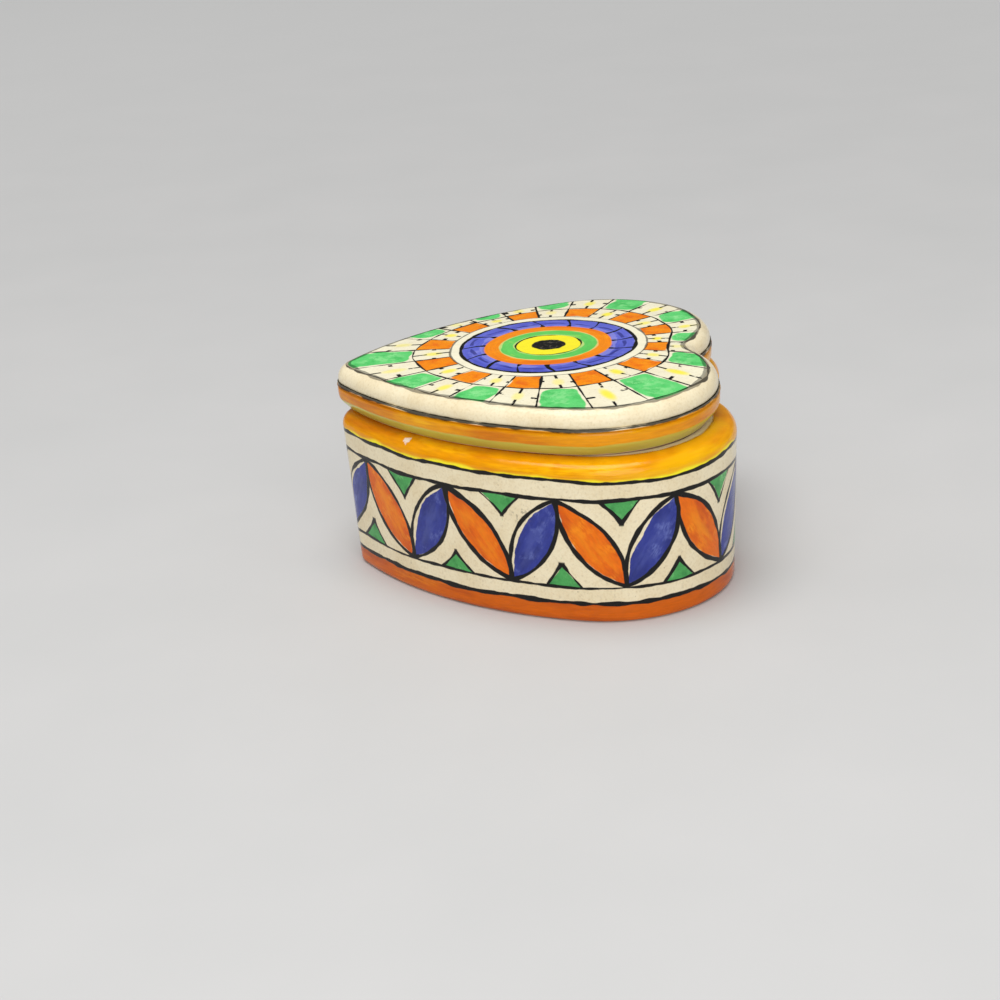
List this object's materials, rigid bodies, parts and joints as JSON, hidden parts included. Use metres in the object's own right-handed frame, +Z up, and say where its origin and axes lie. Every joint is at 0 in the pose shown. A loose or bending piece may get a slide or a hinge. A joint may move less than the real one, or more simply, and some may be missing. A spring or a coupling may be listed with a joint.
{
  "type": "heart-shaped trinket box",
  "caption": "Heart-shaped glazed ceramic trinket box with a hollow base and a loose lid that lifts off, painted with leaves, tiles and rings.",
  "frame": {"origin": "on the table, under the middle of the closed box", "axes": "+Z up, +Y from the heart's tip to its lobes, +X across the lobes"},
  "size_m": [0.0982, 0.092, 0.0493],
  "materials": {
    "base_glaze": "gloss",
    "lid_glaze": "gloss"
  },
  "bodies": {
    "base": {"base": "base_glaze"},
    "lid": {"lid": "lid_glaze"}
  },
  "joints": [
    {"name": "lid_lift", "type": "slide", "parent": "base", "child": "lid", "axis": [0, 0, 1], "range_m": [0, 0.06]}
  ]
}
